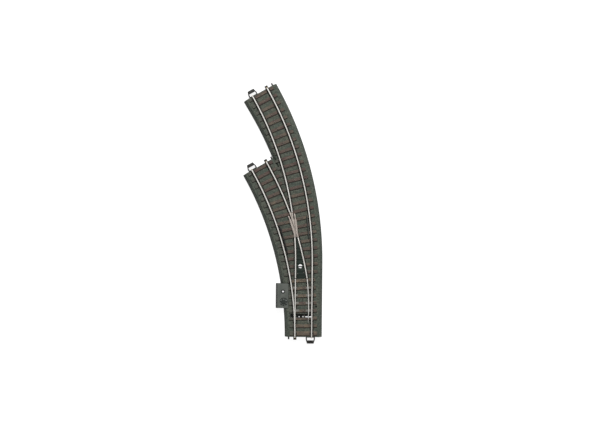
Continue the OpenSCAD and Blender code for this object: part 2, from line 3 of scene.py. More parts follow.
import bmesh
import bpy
import numpy as np
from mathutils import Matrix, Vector


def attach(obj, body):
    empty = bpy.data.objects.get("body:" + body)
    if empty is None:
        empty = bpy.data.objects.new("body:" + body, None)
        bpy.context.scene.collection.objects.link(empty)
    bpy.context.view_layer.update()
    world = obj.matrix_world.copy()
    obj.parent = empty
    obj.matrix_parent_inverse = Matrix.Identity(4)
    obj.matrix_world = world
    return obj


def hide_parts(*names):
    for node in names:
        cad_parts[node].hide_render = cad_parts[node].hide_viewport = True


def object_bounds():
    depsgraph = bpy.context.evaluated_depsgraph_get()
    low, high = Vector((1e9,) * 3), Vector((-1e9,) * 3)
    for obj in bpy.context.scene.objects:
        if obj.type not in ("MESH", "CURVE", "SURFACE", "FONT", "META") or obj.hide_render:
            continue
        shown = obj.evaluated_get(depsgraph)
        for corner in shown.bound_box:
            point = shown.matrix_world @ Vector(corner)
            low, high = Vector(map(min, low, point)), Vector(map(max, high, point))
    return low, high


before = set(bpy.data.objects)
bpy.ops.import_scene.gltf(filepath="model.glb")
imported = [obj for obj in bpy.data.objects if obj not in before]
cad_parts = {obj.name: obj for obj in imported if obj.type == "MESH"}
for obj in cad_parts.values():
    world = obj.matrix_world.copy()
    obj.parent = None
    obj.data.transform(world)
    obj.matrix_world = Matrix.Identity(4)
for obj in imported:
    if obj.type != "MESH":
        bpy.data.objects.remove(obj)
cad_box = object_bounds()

MM = 0.001

# Layout of the two routes, in millimetres, as in the CAD
ROUTE_R = 360.0
ROUTE_ANGLE = 30.0
LEAD = 77.5
INNER_LEN = ROUTE_R * math.radians(ROUTE_ANGLE)
OUTER_LEN = LEAD + INNER_LEN

# The bed across a route, and the circle that trims the outer branch's left edge
BED_HALF = 19.6
SHOULDER = 3.2
SKIRT = 1.5
BED_INSET = 0.5
BALLAST_Z = 7.0
BED_SLOPE = (BALLAST_Z - SKIRT) / SHOULDER
OFF_BED = -1.0          # height given to places off the bed
TRIM_C = (-384.8, 40.9)
TRIM_R = 380.4

# Rails: distance from a route's centre line, foot and top heights, and the grooves they stand in
RAIL_OFF = 8.75
RAIL_Z = 8.0
RAIL_TOP = 10.3
GROOVE_HALF = 1.75
GROOVE_PAST_END = 0.2   # degrees

# Openings in the bed: ranges along x and y, and round holes as x, y and radius
SLOT_X, SLOT_Y = (-13.6, 9.4), (20.8, 24.5)
HOUSING_RIGHT, HOUSING_Y = -16.1, (30.7, 56.6)
FIXING_HOLE = (13.2, 32.5, 0.75)
CLOSURE_HOLE = (-3.8, 74.8, 2.1)

# The dark panel between the closure rails: its gap to the rails' centre lines and its range along y
PANEL_GAP = 1.3
PANEL_Y = (62.6, 104)

# Where chairs are left out, along y: inside the stock rails at the blades and check rails, and
# on the inner rails before the blades' heels and at the frog
BLADES_Y = (12, 62)
HEELS_Y = 63
FROG_Y = (103.5, 133)
INNER_CHECK_Y = (86, 120)
OUTER_CHECK_Y = (103, 131)

# Sleepers. The first few bars are shared by both routes; later ones meet with a small overlap
# and turn from the routes' mean heading to their own.
SLEEPER_LEN = 28.8
SLEEPER_W = 3.1
FIRST_SLEEPER_W = 4.2
OUTER_COUNT = 33
INNER_COUNT = 24
SHARED_COUNT = 8
OWN_HEADING_FROM = 20
HEADING_BLEND = 4
BAR_OVERLAP = 0.4

# Sleeper numbers and their distances from the toe; those between stand evenly
OUTER_SLEEPERS = ((0, 9, 21, 32), (4.3, 76.4, 174.5, OUTER_LEN - 2.9))
INNER_SLEEPERS = ((0, 5, 10, 23), (4.3, 43.3, 83.6, INNER_LEN - 3.1))

# Ballast stones: grid step, inset from the bed's edge, depth of the skin's walls, how far each
# route's skin passes the middle line, how near two beds count as level, and the bare strip
# on each sleeper's toe side, which laps under the board
STONE_STEP = 0.36
STONE_INSET = 0.05
STONE_WALL = 0.45
STONE_MEET = 0.3
SAME_HEIGHT = 0.005
TRENCH = 0.85
TRENCH_LAP = 0.3
# Painted shade on the sloping shoulders: tone factors at heights up the slope.
SLOPE_HEIGHTS, SLOPE_SHADE_TONES = (SKIRT, 5.0), (0.3, 0.66)

# Boards: grid step along them, rows across them as shares of half the width, how far each
# route's boards pass the middle line, and where splits and dust begin
BOARD_STEP = 0.4
BOARD_ROWS = (-1.0, -0.93, *np.linspace(-0.8, 0.8, 9), 0.93, 1.0)
BOARD_MEET = 0.35
SPLIT_ABOVE = 0.72
DUST_LEFT_OF = -9.8

# Materials: the plastics' grain and mottling, and the heights where a rail turns from painted shade
# to bright
PLASTIC_GRAIN = 0.35
PLASTIC_MOTTLE = 0.18
RAIL_SHADE_BELOW = 9.55
RAIL_BLEND = 0.25

# Edges sharper than this are rounded on the finished CAD parts
SHARP_EDGE = math.radians(28)
BEVEL_SEGMENTS = 2

# Chairs: how far their jaws and spikes stand from the rail's centre line, and their sizes
JAW_OFF, JAW_ACROSS, JAW_ALONG = 1.55, 1.15, 2.2
JAW_HEIGHTS, JAW_TAPER = (RAIL_Z - 0.25, RAIL_Z + 0.3, RAIL_Z + 0.5), 0.18
SPIKE_OFF, SPIKE_ALONG, SPIKE_SIZE = 1.75, 0.55, 0.42
SPIKE_HEIGHTS, SPIKE_TAPER = (RAIL_Z + 0.4, RAIL_Z + 0.58, RAIL_Z + 0.64), 0.08

# Chairs: their clearance from openings, and the search for a rail's crossing of a bar
CHAIR_CLEAR = 1.2
CHAIR_SEARCH_STEPS = 1441
CHAIR_MISS = 0.05

# Stage. The lamp stands beyond the far end, and the camera looks straight down from well above
FLOOR_HALF = 2.5
FLOOR_DROP = 0.0001
WORLD_STRENGTH = 0.54
LAMP_OFFSET = (0.36, 1.8, 2.1)
LAMP_SIZE = 0.7
LAMP_POWER = 106
CAMERA_AT = (-4.61, 129.7)
CAMERA_HEIGHT = 1400.0
CAMERA_ROLL = math.radians(0.55)
FRAME_WIDTH = 628.9
SENSOR = 36.0


# ---- node helpers -------------------------------------------------------------------------

class Shader:
    """A material's node tree with short calls to add and link nodes."""

    def __init__(self, name):
        self.material = bpy.data.materials.new(name)
        self.material.use_nodes = True
        self.tree = self.material.node_tree
        self.bsdf = self.tree.nodes["Principled BSDF"]
        self.coords = self.tree.nodes.new("ShaderNodeTexCoord").outputs["Object"]

    def add(self, kind, **values):
        """A new node; each value sets the property of that name or else the input socket."""
        node = self.tree.nodes.new("ShaderNode" + kind)
        for key, value in values.items():
            if hasattr(node, key):
                setattr(node, key, value)
            else:
                self.put(value, node.inputs[key.replace("_", " ")])
        return node

    def put(self, value, socket):
        """Links a socket, or sets a plain value."""
        if isinstance(value, bpy.types.NodeSocket):
            self.tree.links.new(value, socket)
        else:
            socket.default_value = value

    def scaled(self, x, y, z):
        node = self.add("Mapping", Vector=self.coords)
        node.inputs["Scale"].default_value = (x, y, z)
        return node.outputs["Vector"]

    def noise(self, per_metre, detail=3.0, roughness=0.55, vector=None):
        node = self.add("TexNoise", Vector=vector or self.coords, Scale=per_metre, Detail=detail,
                        Roughness=roughness)
        return node.outputs["Fac"]

    def ramp(self, fac, stops):
        node = self.add("ValToRGB", Fac=fac)
        elements = node.color_ramp.elements
        while len(elements) < len(stops):
            elements.new(0.5)
        for element, (place, colour) in zip(elements, stops):
            element.position = place
            element.color = (*colour, 1)
        return node.outputs["Color"]

    def spread(self, fac, low, high):
        """Stretches the middle of a noise over the range from low to high."""
        node = self.add("MapRange", Value=fac)
        node.inputs["From Min"].default_value = 0.3
        node.inputs["From Max"].default_value = 0.7
        node.inputs["To Min"].default_value = low
        node.inputs["To Max"].default_value = high
        return node.outputs["Result"]

    def mix(self, fac, a, b, blend="MIX"):
        node = self.add("Mix", data_type="RGBA", blend_type=blend)
        self.put(fac, node.inputs["Factor"])
        self.put(a if isinstance(a, bpy.types.NodeSocket) else (*a, 1), node.inputs["A"])
        self.put(b if isinstance(b, bpy.types.NodeSocket) else (*b, 1), node.inputs["B"])
        return node.outputs["Result"]

    def height_mask(self, low, high):
        """0 below low and 1 above high, both heights in millimetres."""
        split = self.add("SeparateXYZ", Vector=self.coords)
        node = self.add("MapRange", Value=split.outputs["Z"])
        node.inputs["From Min"].default_value = low * MM
        node.inputs["From Max"].default_value = high * MM
        return node.outputs["Result"]

    def bump(self, height, distance, strength=1.0):
        node = self.add("Bump", Height=height, Distance=distance * MM, Strength=strength)
        self.put(node.outputs["Normal"], self.bsdf.inputs["Normal"])

    def finish(self, colour, roughness, metallic=0.0, specular=0.5):
        """Sets the surface and returns the material."""
        self.put(colour, self.bsdf.inputs["Base Color"])
        self.put(roughness, self.bsdf.inputs["Roughness"])
        self.bsdf.inputs["Metallic"].default_value = metallic
        self.bsdf.inputs["Specular IOR Level"].default_value = specular
        return self.material


def shade(colour, factor):
    return tuple(c * factor for c in colour)


# ---- materials ----------------------------------------------------------------------------

def plastic(name, colour, roughness, grain=0.02):
    """A moulding: faint mottling, a fine spark-eroded grain and rubbed patches."""
    s = Shader(name)
    tone = s.ramp(s.noise(160, 4), [
        (0.3, shade(colour, 1 - PLASTIC_MOTTLE)), (0.7, shade(colour, 1 + PLASTIC_MOTTLE))])
    s.bump(s.noise(1000 / PLASTIC_GRAIN, 2), grain)
    rubbed = s.spread(s.noise(320, 3), roughness - 0.07, roughness + 0.07)
    return s.finish(tone, rubbed, specular=0.2)


def ballast():
    """Grey-green stones, each in its own tone, in broad patches with a fine speckle; the stone
    tones carry painted shade in the gaps and on the sloping shoulders.
    """
    s = Shader("ballast")
    stone = s.add("Attribute", attribute_name="stone").outputs["Fac"]
    tone = s.ramp(stone, [
        (0.0, (0.023, 0.028, 0.023)), (0.35, (0.047, 0.056, 0.046)),
        (0.7, (0.066, 0.074, 0.061)), (1.0, (0.1, 0.098, 0.082))])
    patch = s.ramp(s.noise(90, 5), [(0.35, (0.82, 0.88, 0.86)), (0.65, (1.12, 1.06, 1.0))])
    speckle = s.ramp(s.noise(2600, 3), [(0.35, (0.72, 0.74, 0.72)), (0.65, (1.2, 1.18, 1.15))])
    colour = s.mix(1.0, s.mix(1.0, tone, patch, "MULTIPLY"), speckle, "MULTIPLY")
    s.bump(s.noise(3200, 4), 0.07)
    return s.finish(colour, s.spread(s.noise(700), 0.7, 0.9), specular=0.3)


def bed_side():
    """The bare moulding, with painted shade where it faces up along the rails and sleepers."""
    s = Shader("bed_moulding")
    tone = s.ramp(s.noise(700, 4), [(0.3, (0.032, 0.037, 0.031)), (0.7, (0.058, 0.064, 0.055))])
    # Painted shade: the upward faces in the grooves and trenches by the rails and sleepers are
    # darkened.
    painted_shade = s.ramp(s.noise(900, 4), [(0.3, (0.018, 0.018, 0.014)), (0.7, (0.04, 0.039, 0.032))])
    facing = s.tree.nodes.new("ShaderNodeTexCoord").outputs["Normal"]
    up = s.add("MapRange", Value=s.add("SeparateXYZ", Vector=facing).outputs["Z"])
    up.inputs["From Min"].default_value = 0.8
    up.inputs["From Max"].default_value = 0.95
    mask = s.add("Math", operation="MULTIPLY")
    s.put(up.outputs["Result"], mask.inputs[0])
    s.put(s.height_mask(6.1, 6.2), mask.inputs[1])
    s.bump(s.noise(1400, 4), 0.1)
    colour = s.mix(mask.outputs["Value"], tone, painted_shade)
    return s.finish(colour, s.spread(s.noise(500), 0.65, 0.85), specular=0.25)


def sleeper_wood():
    """Stained brown, some sleepers redder and some greyer, with greenish dust on the left ends."""
    s = Shader("sleeper_wood")
    stain = s.add("Attribute", attribute_name="stain").outputs["Fac"]
    dust = s.add("Attribute", attribute_name="dust").outputs["Fac"]
    tone = s.ramp(stain, [
        (0.0, (0.046, 0.027, 0.024)), (0.35, (0.06, 0.041, 0.035)),
        (0.65, (0.068, 0.056, 0.044)), (1.0, (0.1, 0.08, 0.058))])
    streak = s.ramp(s.noise(420, 5), [(0.3, (0.72, 0.7, 0.7)), (0.7, (1.25, 1.2, 1.15))])
    speck = s.ramp(s.noise(2400, 3), [(0.35, (0.8, 0.8, 0.8)), (0.65, (1.16, 1.16, 1.16))])
    wood = s.mix(1.0, s.mix(1.0, tone, streak, "MULTIPLY"), speck, "MULTIPLY")
    s.bump(s.noise(2800, 4), 0.05)
    colour = s.mix(dust, wood, (0.048, 0.054, 0.044))
    return s.finish(colour, s.spread(s.noise(600), 0.62, 0.82), specular=0.25)


def housing_finish():
    """The lever housing: mottled body colour on top, with painted shade lower down."""
    s = Shader("housing_plastic")
    tone = s.ramp(s.noise(190, 5), [(0.3, (0.05, 0.057, 0.051)), (0.7, (0.078, 0.083, 0.073))])
    painted_shade = s.ramp(s.noise(700, 4), [(0.3, (0.012, 0.014, 0.012)), (0.7, (0.028, 0.031, 0.027))])
    s.bump(s.noise(2000, 3), 0.05)
    # Painted shade on the housing's lower sides.
    colour = s.mix(s.height_mask(6.9, 7.4), painted_shade, tone)
    return s.finish(colour, s.spread(s.noise(320, 3), 0.55, 0.69), specular=0.2)


def knob_finish():
    """The lever's knob: body colour, with a darker raised star."""
    s = Shader("knob_plastic")
    raised = s.ramp(s.noise(500, 3), [(0.3, (0.008, 0.011, 0.009)), (0.7, (0.018, 0.022, 0.019))])
    dish = s.ramp(s.noise(500, 3), [(0.3, (0.055, 0.063, 0.057)), (0.7, (0.085, 0.095, 0.087))])
    s.bump(s.noise(2600, 2), 0.02)
    colour = s.mix(s.height_mask(6.9, 7.3), dish, raised)
    return s.finish(colour, s.spread(s.noise(320), 0.5, 0.62), specular=0.25)


def rail_metal(name, polish=1.0):
    """Drawn nickel silver: bright running surface, with the web and foot painted dark as shade
    under the head.
    """
    s = Shader(name)
    fine = s.noise(2200, 3)
    bright = s.ramp(s.noise(120, 4), [
        (0.3, shade((0.46, 0.45, 0.42), polish)), (0.7, shade((0.55, 0.54, 0.51), polish))])
    wear = s.ramp(fine, [(0.3, (0.9, 0.9, 0.9)), (0.7, (1.05, 1.05, 1.05))])
    bright = s.mix(1.0, bright, wear, "MULTIPLY")
    # Painted shade on the web and foot, under the rail head.
    web_shade = s.ramp(s.noise(500, 4), [(0.3, (0.02, 0.019, 0.017)), (0.7, (0.06, 0.054, 0.046))])
    mask = s.height_mask(RAIL_SHADE_BELOW, RAIL_SHADE_BELOW + RAIL_BLEND)
    s.bump(fine, 0.012)
    return s.finish(s.mix(mask, web_shade, bright), s.spread(s.noise(900), 0.52, 0.66), metallic=0.3)


def cast_metal():
    """The frog: a dull, sandy casting, darker in its flangeways."""
    s = Shader("frog_casting")
    sand = s.noise(1300, 5)
    tone = s.ramp(sand, [(0.3, (0.24, 0.21, 0.185)), (0.7, (0.38, 0.335, 0.3))])
    floor = s.ramp(sand, [(0.3, (0.16, 0.14, 0.122)), (0.7, (0.28, 0.245, 0.22))])
    s.bump(sand, 0.06)
    colour = s.mix(s.height_mask(9.3, 9.9), floor, tone)
    return s.finish(colour, s.spread(s.noise(800), 0.52, 0.66), metallic=0.35)


def strip_metal(name, colour, roughness=0.42, metallic=0.9):
    """Rolled or plated strip with faint tarnish."""
    s = Shader(name)
    tarnish = s.noise(260, 5)
    tone = s.ramp(tarnish, [(0.3, shade(colour, 0.62)), (0.7, shade(colour, 1.15))])
    s.bump(s.noise(1, 3, 0.5, s.scaled(300, 3000, 300)), 0.012)
    return s.finish(tone, s.spread(tarnish, roughness - 0.1, roughness + 0.12), metallic=metallic)


def floor_paper():
    """White paper that glows enough to print as white."""
    s = Shader("floor_paper")
    tone = s.ramp(s.noise(60, 3), [(0.3, (0.2, 0.2, 0.2)), (0.7, (0.21, 0.21, 0.21))])
    s.bsdf.inputs["Emission Color"].default_value = (1, 1, 1, 1)
    s.bsdf.inputs["Emission Strength"].default_value = 0.9
    return s.finish(tone, 0.9, specular=0.0)


# ---- route geometry -----------------------------------------------------------------------

def inner_at(s):
    """Place and heading on the inner route, s millimetres from the toe."""
    a = s / ROUTE_R
    return ROUTE_R * (math.cos(a) - 1), ROUTE_R * math.sin(a), a


def outer_at(s):
    """Place and heading on the outer route, s millimetres from the toe."""
    if s < LEAD:
        return 0.0, s, 0.0
    x, y, a = inner_at(s - LEAD)
    return x, y + LEAD, a


def profile_height(offset):
    """Height of the bed across one route, from its distance to the centre line."""
    return np.clip(SKIRT + (BED_HALF - np.abs(offset)) * BED_SLOPE, OFF_BED, BALLAST_Z)


def inner_offset(x, y):
    """Distance to the right of the inner route's centre line."""
    return np.hypot(x + ROUTE_R, y) - ROUTE_R


def outer_offset(x, y):
    """Distance to the right of the outer route's centre line."""
    return np.where(y < LEAD, x, np.hypot(x + ROUTE_R, y - LEAD) - ROUTE_R)


def beyond_trim(x, y):
    """Distance outward from the circle that trims the outer branch."""
    return np.hypot(x - TRIM_C[0], y - TRIM_C[1]) - TRIM_R


def outer_height(x, y):
    """Height of the outer route's bed, or OFF_BED beside it."""
    trimmed = beyond_trim(x, y)
    cut = np.clip(SKIRT + trimmed * BED_SLOPE, OFF_BED, BALLAST_Z)
    cut = np.where(trimmed < 0, OFF_BED, cut)
    return np.minimum(profile_height(outer_offset(x, y)), np.where(y > LEAD, cut, BALLAST_Z))


def inner_height(x, y):
    """Height of the inner route's bed, or OFF_BED beside and beyond it."""
    a = np.arctan2(y, x + ROUTE_R)
    end = math.radians(ROUTE_ANGLE) - BED_INSET / ROUTE_R
    return np.where(a <= end, profile_height(inner_offset(x, y)), OFF_BED)


def grooved(x, y):
    """True in the grooves where the rails stand."""
    on_inner = np.arctan2(y, x + ROUTE_R) <= math.radians(ROUTE_ANGLE + GROOVE_PAST_END)
    inner_line = np.abs(np.abs(inner_offset(x, y)) - RAIL_OFF) < GROOVE_HALF
    outer_line = np.abs(np.abs(outer_offset(x, y)) - RAIL_OFF) < GROOVE_HALF
    return (on_inner & inner_line) | outer_line


def within(value, limits, margin):
    return (value > limits[0] - margin) & (value < limits[1] + margin)


def over_hole(x, y, hole, margin):
    return np.hypot(x - hole[0], y - hole[1]) < hole[2] + margin


def opened(x, y, margin):
    """True over the throw slot, the lever housing and the two round holes."""
    slot = within(x, SLOT_X, margin) & within(y, SLOT_Y, margin)
    housing = (x < HOUSING_RIGHT + margin) & within(y, HOUSING_Y, margin)
    holes = over_hole(x, y, FIXING_HOLE, margin) | over_hole(x, y, CLOSURE_HOLE, margin)
    return slot | housing | holes


def on_panel(x, y, margin):
    """True over the dark panel between the closure rails."""
    edge = RAIL_OFF - PANEL_GAP + margin
    between = (inner_offset(x, y) < edge) & (outer_offset(x, y) > -edge)
    return between & within(y, PANEL_Y, margin)


# ---- sleepers' places ---------------------------------------------------------------------

def inner_sleeper(k):
    return inner_at(float(np.interp(k, *INNER_SLEEPERS)))


def outer_sleeper(k):
    return outer_at(float(np.interp(k, *OUTER_SLEEPERS)))


def sleeper_bars():
    """Every bar: number, centre, heading, its two ends across the track, width and route."""
    half = SLEEPER_LEN / 2
    bars = []
    for k in range(OUTER_COUNT):
        width = FIRST_SLEEPER_W if k == 0 else SLEEPER_W
        q = outer_sleeper(k)
        if k >= INNER_COUNT:
            bars.append((k, q[0], q[1], q[2], -half, half, width, ""))
            continue
        p = inner_sleeper(k)
        mean = (p[2] + q[2]) / 2
        if k < SHARED_COUNT:
            bars.append((k, (p[0] + q[0]) / 2, (p[1] + q[1]) / 2, mean, -half, half, width, ""))
            continue
        share = min(1.0, max(0.0, (OWN_HEADING_FROM - k) / HEADING_BLEND))
        reach = min(half, math.dist(p[:2], q[:2]) / 2 + BAR_OVERLAP)
        shared = mean * share
        bars.append((k, p[0], p[1], shared + p[2] * (1 - share), -half, reach, width, "inner"))
        bars.append((k, q[0], q[1], shared + q[2] * (1 - share), -reach, half, width, "outer"))
    return bars


BARS = sleeper_bars()


def bar_coordinates(bar, x, y):
    """Places measured along a bar and across it, the second growing away from the toe."""
    _, cx, cy, heading = bar[:4]
    c, s = math.cos(heading), math.sin(heading)
    return (x - cx) * c + (y - cy) * s, (y - cy) * c - (x - cx) * s


# ---- meshes -------------------------------------------------------------------------------

def new_object(name, mesh, material, body):
    """A visible piece that rides on a body and fills a slot."""
    obj = bpy.data.objects.new(name, mesh)
    bpy.context.scene.collection.objects.link(obj)
    mesh.materials.clear()
    mesh.materials.append(material)
    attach(obj, body)
    return obj


def smooth_faces(mesh, sharp_angle):
    """Shades all faces smooth and keeps edges sharper than the angle."""
    bm = bmesh.new()
    bm.from_mesh(mesh)
    for face in bm.faces:
        face.smooth = True
    for edge in bm.edges:
        edge.smooth = len(edge.link_faces) == 2 and edge.calc_face_angle(0.0) < sharp_angle
    bm.to_mesh(mesh)
    bm.free()


def softened(node, material, width, body="track"):
    """Copies a CAD node and rounds its sharp edges, as moulding and drawing leave them."""
    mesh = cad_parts[node].data.copy()
    bm = bmesh.new()
    bm.from_mesh(mesh)
    bmesh.ops.remove_doubles(bm, verts=bm.verts, dist=2e-6)
    bmesh.ops.dissolve_limit(bm, angle_limit=math.radians(0.4), verts=bm.verts, edges=bm.edges)
    edges = [e for e in bm.edges if len(e.link_faces) == 2 and e.calc_face_angle(0.0) > SHARP_EDGE]
    bmesh.ops.bevel(bm, geom=edges, offset=width * MM, offset_type="OFFSET",
                    segments=BEVEL_SEGMENTS, profile=0.6, affect="EDGES", clamp_overlap=True)
    bmesh.ops.triangulate(bm, faces=[f for f in bm.faces if len(f.verts) > 4])
    bm.to_mesh(mesh)
    bm.free()
    smooth_faces(mesh, math.radians(32))
    piece = new_object(node + "_finished", mesh, material, body)
    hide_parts(node)
    return piece


def hashed(value, scale):
    """A repeatable random number from 0 to 1 for each value."""
    return np.modf(np.abs(np.sin(value) * scale))[0]


def cell_noise(x, y, size, seed):
    """Distances to the two nearest of many scattered points, and the nearest one's own number.

    The scattered points are size apart on average, and their numbers run from 0 to 1.
    """
    u, v = x / size, y / size
    iu, iv = np.floor(u), np.floor(v)
    best = np.full(u.shape, 9.0)
    second = np.full(u.shape, 9.0)
    tone = np.zeros(u.shape)
    for du in (-1, 0, 1):
        for dv in (-1, 0, 1):
            cu, cv = iu + du, iv + dv
            hash_a = hashed(cu * 127.1 + cv * 311.7 + seed, 43758.5453)
            hash_b = hashed(cu * 269.5 + cv * 183.3 + seed, 24634.6345)
            d = np.hypot(cu + hash_a - u, cv + hash_b - v)
            nearer = d < best
            second = np.where(nearer, best, np.minimum(second, d))
            tone = np.where(nearer, np.modf(hash_a * 17.0 + hash_b * 7.0)[0], tone)
            best = np.where(nearer, d, best)
    return best, second, tone


def value_noise(u, v, seed):
    """Smooth random field, 0 to 1, with one new value per unit."""
    iu, iv = np.floor(u), np.floor(v)
    fu, fv = u - iu, v - iv
    fu, fv = fu * fu * (3 - 2 * fu), fv * fv * (3 - 2 * fv)

    def corner(du, dv):
        return hashed((iu + du) * 127.1 + (iv + dv) * 311.7 + seed * 7.3, 43758.5453)

    low = corner(0, 0) * (1 - fu) + corner(1, 0) * fu
    high = corner(0, 1) * (1 - fu) + corner(1, 1) * fu
    return low * (1 - fv) + high * fv


def stone_relief(x, y):
    """Height of the ballast stones above the moulding, in millimetres, and each stone's tone, with
    painted shade towards the gaps between stones.
    """
    near, far, tone = cell_noise(x, y, 1.25, 3.0)
    gap = np.clip((far - near) * 2.6, 0, 1)
    small_near, small_far, small_tone = cell_noise(x, y, 0.62, 8.0)
    small_gap = np.clip((small_far - small_near) * 2.0, 0, 1)
    height = 0.03 + 0.26 * np.sqrt(gap) * (0.45 + 0.55 * tone) + 0.06 * small_gap
    # Painted shade: each stone's tone darkens towards the gaps between stones.
    return height, np.clip(0.75 * tone + 0.25 * small_tone, 0, 1) * (0.35 + 0.65 * gap)


def kept_sheet(x, y, z, keep, across_first):
    """Upward quads of a grid where all four corners are kept.

    across_first says that the grid's first index runs across the track, not along it. Returns
    the points, the quads, and each point's number in the grid.
    """
    index = np.arange(x.size).reshape(x.shape)
    whole = keep[:-1, :-1] & keep[1:, :-1] & keep[:-1, 1:] & keep[1:, 1:]
    corners = [index[:-1, :-1], index[:-1, 1:], index[1:, 1:], index[1:, :-1]]
    if across_first:
        corners[1], corners[3] = corners[3], corners[1]
    quads = np.stack(corners, axis=-1)[whole]
    used, remap = np.unique(quads, return_inverse=True)
    points = np.stack([x, y, z], axis=-1).reshape(-1, 3)[used]
    return points, remap.reshape(-1, 4), used


def stone_tone_with_shade(tone, surface):
    """Painted shade: stones on the sloping shoulders are darker, the more so lower down."""
    return tone * np.where(
        surface < BALLAST_Z - 0.05, np.interp(surface, SLOPE_HEIGHTS, SLOPE_SHADE_TONES), 1.0)


def ballast_patch(name, centre, length, own, material):
    """A skin of stones on one route's part of the bed: it lies just above the CAD surface."""
    edge = BED_HALF - STONE_INSET
    s_values = np.linspace(BED_INSET, length - BED_INSET, int(length / STONE_STEP))
    o_values = np.linspace(-edge, edge, int(2 * edge / STONE_STEP))
    centres = np.array([centre(s) for s in s_values])
    cos_a, sin_a = np.cos(centres[:, 2:3]), np.sin(centres[:, 2:3])
    x = centres[:, 0:1] + o_values[None, :] * cos_a
    y = centres[:, 1:2] + o_values[None, :] * sin_a
    h_in, h_out = inner_height(x, y), outer_height(x, y)
    surface = np.maximum(h_in, h_out)

    # The higher bed owns a place. Where both are level, the line midway between them decides.
    past_middle = inner_offset(x, y) + outer_offset(x, y)
    ours, theirs = h_in, h_out
    if own == "outer":
        ours, theirs, past_middle = h_out, h_in, -past_middle
    level = (ours > SKIRT - 0.1) & (ours >= theirs - SAME_HEIGHT) & (past_middle <= STONE_MEET)
    mine = (ours > theirs + SAME_HEIGHT) | level
    mine &= surface > SKIRT - 0.05
    mine &= ~(opened(x, y, 0.15) | on_panel(x, y, 0.1))
    mine &= ~(grooved(x, y) & (surface > BALLAST_Z - 0.1))
    for bar in BARS:
        start, end, width = bar[4:7]
        along, across = bar_coordinates(bar, x, y)
        toe_side = (across > -width / 2 - TRENCH) & (across < TRENCH_LAP - width / 2)
        mine &= ~((along > start) & (along < end) & toe_side)

    relief, tone = stone_relief(x, y)
    tone = stone_tone_with_shade(tone, surface)
    points, quads, used = kept_sheet(x, y, surface + relief, mine, False)
    points, faces, source = with_skirt(points, quads, points[:, 2] - STONE_WALL)
    mesh = bpy.data.meshes.new(name)
    mesh.from_pydata((points * MM).tolist(), [], faces)
    attribute = mesh.attributes.new("stone", "FLOAT", "POINT")
    attribute.data.foreach_set("value", tone.reshape(-1)[used][source].astype(np.float32))
    mesh.shade_smooth()
    return new_object(name, mesh, material, "track")


def with_skirt(points, quads, floor, closed=False):
    """Adds walls from a sheet's open edges down to floor, and the sheet's underside if closed.

    Returns the points, the faces, and for each point the number of the sheet's point it came from.
    """
    edges = np.concatenate([quads[:, [i, (i + 1) % 4]] for i in range(4)])
    count = len(points)
    low_end, high_end = np.minimum(edges[:, 0], edges[:, 1]), np.maximum(edges[:, 0], edges[:, 1])
    key = low_end * np.int64(count) + high_end
    _, first, times = np.unique(key, return_index=True, return_counts=True)
    rim = edges[first[times == 1]]
    low = points.copy()
    low[:, 2] = floor
    if closed:
        kept = np.arange(count)
    else:
        kept = np.unique(rim)
    new_index = np.full(count, -1)
    new_index[kept] = count + np.arange(len(kept))
    walls = np.stack([rim[:, 1], rim[:, 0], new_index[rim[:, 0]], new_index[rim[:, 1]]], axis=-1)
    faces = quads.tolist() + walls.tolist()
    if closed:
        faces += new_index[quads[:, ::-1]].tolist()
    source = np.concatenate([np.arange(count), kept])
    return np.concatenate([points, low[kept]]), faces, source


def sleeper_boards(name, material):
    """All sleepers as grained boards with worn edges."""
    points, faces, stains, dusts = [], [], [], []
    total = 0
    for k, cx, cy, heading, start, end, width, route in BARS:
        u = np.linspace(start, end, int(round((end - start) / BOARD_STEP)) + 1)[:, None]
        v = np.array(BOARD_ROWS)[None, :] * width / 2
        c, s = math.cos(heading), math.sin(heading)
        x, y = cx + u * c - v * s, cy + u * s + v * c
        grain = value_noise(u / 2.6 + k * 3.1, v / 0.3 + 40, k)
        split = value_noise(u / 7.0 + k, v / 0.55 + 11, k + 50) > SPLIT_ABOVE
        worn = np.clip((np.abs(v) / (width / 2) - 0.86) / 0.14, 0, 1) ** 2 * 0.2
        z = RAIL_Z - 0.02 - 0.16 * grain * (1 - worn) - 0.1 * split - worn

        keep = ~(opened(x, y, 0.1) | on_panel(x, y, 0.05))
        if k >= INNER_COUNT:
            keep &= ~((y > LEAD) & (beyond_trim(x, y) < SHOULDER + 0.5))
        if route:
            past_middle = inner_offset(x, y) + outer_offset(x, y)
            keep &= (past_middle if route == "inner" else -past_middle) <= BOARD_MEET
        sheet, quads, used = kept_sheet(x, y, z, keep, True)
        if not len(quads):
            continue
        sheet, polygons, source = with_skirt(sheet, quads, BALLAST_Z, closed=True)

        own = np.modf(abs(math.sin(k * 12.9898 + 4.1) * 43758.5453))[0]
        stain = 0.15 + 0.35 * own + 0.5 * value_noise(u / 4.0, v / 1.6, k + 90)
        stain = stain + (0.25 if k < SHARED_COUNT else 0.0) - 0.35 * split
        dust = np.clip((DUST_LEFT_OF - np.broadcast_to(u, x.shape)) / 1.2, 0, 1) * 0.75
        faces += [[i + total for i in f] for f in polygons]
        points.append(sheet)
        stains.append(np.clip(stain, 0, 1).reshape(-1)[used][source])
        dusts.append(dust.reshape(-1)[used][source])
        total += len(sheet)
    mesh = bpy.data.meshes.new(name)
    mesh.from_pydata((np.concatenate(points) * MM).tolist(), [], faces)
    for key, values in (("stain", stains), ("dust", dusts)):
        attribute = mesh.attributes.new(key, "FLOAT", "POINT")
        attribute.data.foreach_set("value", np.concatenate(values).astype(np.float32))
    smooth_faces(mesh, math.radians(50))
    boards = new_object(name, mesh, material, "track")
    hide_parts("sleepers")
    return boards


